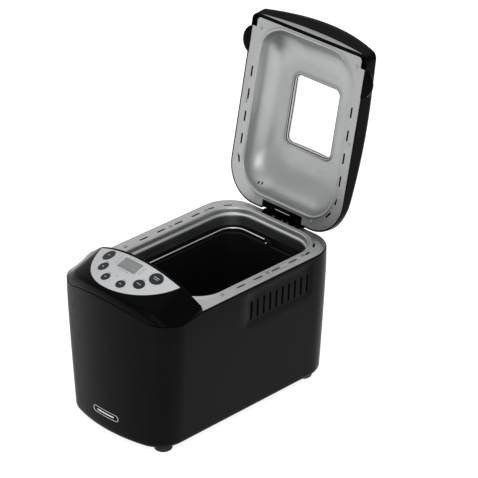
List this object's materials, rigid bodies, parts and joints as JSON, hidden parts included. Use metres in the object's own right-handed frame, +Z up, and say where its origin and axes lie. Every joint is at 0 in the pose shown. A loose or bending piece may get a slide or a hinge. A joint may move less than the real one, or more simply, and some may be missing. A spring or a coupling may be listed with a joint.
{
  "type": "bread machine",
  "caption": "Countertop bread machine with an open hinged lid and window, sloped control panel, lift-out pan with wire bail, kneading paddles and belt drive.",
  "frame": {"origin": "centre of the bounding box on the table plane, with the lid at its open stop", "axes": "+X to the machine's right-hand side seen from its control panel, +Y to the rear, where the lid is hinged, +Z up"},
  "size_m": [0.269, 0.4774, 0.5263],
  "materials": {
    "black_paint": "satin black enamel on sheet steel",
    "black_plastic": "semi-gloss moulded black",
    "silver_paint": "fine metallic silver, satin",
    "fascia_silver": "silver-painted moulding, satin",
    "lens_grey": "grey display lens",
    "key_grey": "moulded dark grey keys",
    "chamber_steel": "heat-darkened sheet steel",
    "pan_coating": "black non-stick coating",
    "bright_wire": "polished",
    "clear_pane": "clear moulded pane",
    "black_rubber": "matte",
    "gasket_rubber": "matte silicone",
    "zinc_steel": "zinc plated",
    "screw_steel": "plated screws",
    "cast_alloy": "turned and cast",
    "bearing_bronze": "sintered bronze",
    "heater_sheath": "oxidised sheath",
    "motor_steel": "laminated stack and can",
    "board_green": "glass-epoxy board with parts",
    "module_grey": "display module",
    "capacitor_white": "sleeved can",
    "belt_rubber": "toothed belt",
    "badge_silver": "blank plate"
  },
  "bodies": {
    "body": {"body_shell": "black_paint", "base_plate": "zinc_steel", "foot_front_left": "black_rubber", "foot_front_right": "black_rubber", "foot_rear_left": "black_rubber", "foot_rear_right": "black_rubber", "deck_plate": "silver_paint", "oven_chamber": "chamber_steel", "heating_element": "heater_sheath", "temperature_sensor": "zinc_steel", "pan_clips": "zinc_steel", "drive_bracket": "zinc_steel", "bearing_front": "bearing_bronze", "bearing_rear": "bearing_bronze", "motor": "motor_steel", "motor_belt": "belt_rubber", "linking_belt": "belt_rubber", "run_capacitor": "capacitor_white", "power_board": "board_green", "cord_gland": "black_rubber", "control_housing": "black_plastic", "control_fascia": "fascia_silver", "display_window": "lens_grey", "display_module": "module_grey", "control_board": "board_green", "badge": "badge_silver", "hinge_bracket": "black_plastic", "hinge_pin": "zinc_steel", "deck_screws": "screw_steel", "base_screws": "screw_steel"},
    "lid": {"lid_shell": "black_plastic", "lid_liner": "silver_paint", "lid_window": "clear_pane", "window_gasket": "gasket_rubber", "hinge_block": "black_plastic", "lid_screws": "screw_steel"},
    "pan": {"bread_pan": "pan_coating", "pan_bearings": "cast_alloy"},
    "bail": {"bail_handle": "bright_wire"},
    "kneader_front": {"pan_shaft_front": "zinc_steel", "paddle_front": "pan_coating"},
    "kneader_rear": {"pan_shaft_rear": "zinc_steel", "paddle_rear": "pan_coating"},
    "drive_front": {"drive_shaft_front": "cast_alloy"},
    "drive_rear": {"drive_shaft_rear": "cast_alloy"},
    "rotor": {"motor_pulley": "cast_alloy"},
    "start_button": {"start_button": "key_grey"},
    "menu_button": {"menu_button": "key_grey"},
    "size_button": {"size_button": "key_grey"},
    "colour_button": {"colour_button": "key_grey"},
    "time_up_button": {"time_up_button": "key_grey"},
    "time_down_button": {"time_down_button": "key_grey"}
  },
  "joints": [
    {"name": "lid_hinge", "type": "hinge", "parent": "body", "child": "lid", "pos_m": [0, 0.14176, 0.23726], "axis": [-1, 0, 0], "range_deg": [-101.64, 0]},
    {"name": "pan_lift", "type": "slide", "parent": "body", "child": "pan", "axis": [0, 0, 1], "range_m": [0, 0.25]},
    {"name": "bail_swing", "type": "hinge", "parent": "pan", "child": "bail", "pos_m": [0, -0.00724, 0.2], "axis": [0, 1, 0], "range_deg": [0, 180]},
    {"name": "drive_front_spin", "type": "hinge", "parent": "body", "child": "drive_front", "pos_m": [0, -0.06074, 0.038], "axis": [0, 0, 1], "continuous": true},
    {"name": "drive_rear_spin", "type": "hinge", "parent": "body", "child": "drive_rear", "pos_m": [0, 0.04626, 0.038], "axis": [0, 0, 1], "continuous": true},
    {"name": "motor_spin", "type": "hinge", "parent": "body", "child": "rotor", "pos_m": [0, -0.18424, 0.038], "axis": [0, 0, 1], "continuous": true},
    {"name": "paddle_front_spin", "type": "hinge", "parent": "pan", "child": "kneader_front", "pos_m": [0, -0.06074, 0.08], "axis": [0, 0, 1], "continuous": true},
    {"name": "paddle_rear_spin", "type": "hinge", "parent": "pan", "child": "kneader_rear", "pos_m": [0, 0.04626, 0.08], "axis": [0, 0, 1], "continuous": true},
    {"name": "start_button_press", "type": "slide", "parent": "body", "child": "start_button", "axis": [0, 0.309, -0.9511], "range_m": [0, 0.001], "stiffness_N_per_m": 400, "springref_m": -0.0004},
    {"name": "menu_button_press", "type": "slide", "parent": "body", "child": "menu_button", "axis": [0, 0.309, -0.9511], "range_m": [0, 0.001], "stiffness_N_per_m": 400, "springref_m": -0.0004},
    {"name": "size_button_press", "type": "slide", "parent": "body", "child": "size_button", "axis": [0, 0.309, -0.9511], "range_m": [0, 0.001], "stiffness_N_per_m": 400, "springref_m": -0.0004},
    {"name": "colour_button_press", "type": "slide", "parent": "body", "child": "colour_button", "axis": [0, 0.309, -0.9511], "range_m": [0, 0.001], "stiffness_N_per_m": 400, "springref_m": -0.0004},
    {"name": "time_up_button_press", "type": "slide", "parent": "body", "child": "time_up_button", "axis": [0, 0.309, -0.9511], "range_m": [0, 0.001], "stiffness_N_per_m": 400, "springref_m": -0.0004},
    {"name": "time_down_button_press", "type": "slide", "parent": "body", "child": "time_down_button", "axis": [0, 0.309, -0.9511], "range_m": [0, 0.001], "stiffness_N_per_m": 400, "springref_m": -0.0004}
  ],
  "couplings": [
    {"joint": "drive_rear_spin", "follows": "drive_front_spin", "ratio": 1},
    {"joint": "motor_spin", "follows": "drive_front_spin", "ratio": 5},
    {"joint": "paddle_front_spin", "follows": "drive_front_spin", "ratio": 1},
    {"joint": "paddle_rear_spin", "follows": "drive_front_spin", "ratio": 1}
  ]
}
